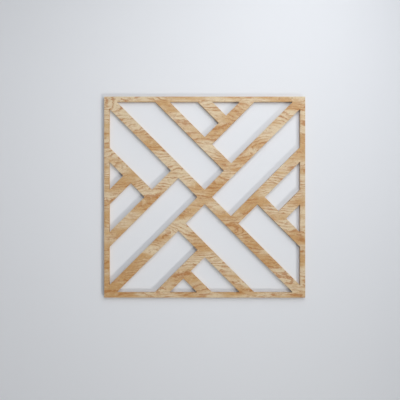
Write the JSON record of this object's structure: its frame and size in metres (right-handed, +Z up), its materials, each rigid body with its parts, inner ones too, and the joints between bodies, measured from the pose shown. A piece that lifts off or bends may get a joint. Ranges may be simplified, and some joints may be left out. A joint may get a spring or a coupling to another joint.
{
  "type": "carved fretwork grille",
  "caption": "Square openwork wood panel for a wall: narrow border, crossing diagonal bars and shorter parallel bars that leave a pinwheel of through slots.",
  "frame": {"origin": "middle of the flat back face, where the two diagonal bars cross", "axes": "+Z up, +X to the right seen from the front, +Y out of the back towards the wall; the front looks along -Y"},
  "size_m": [0.39, 0.0063, 0.39],
  "materials": {
    "pale_oak": "satin"
  },
  "bodies": {
    "root": {"fretwork_grille": "pale_oak"}
  },
  "joints": []
}
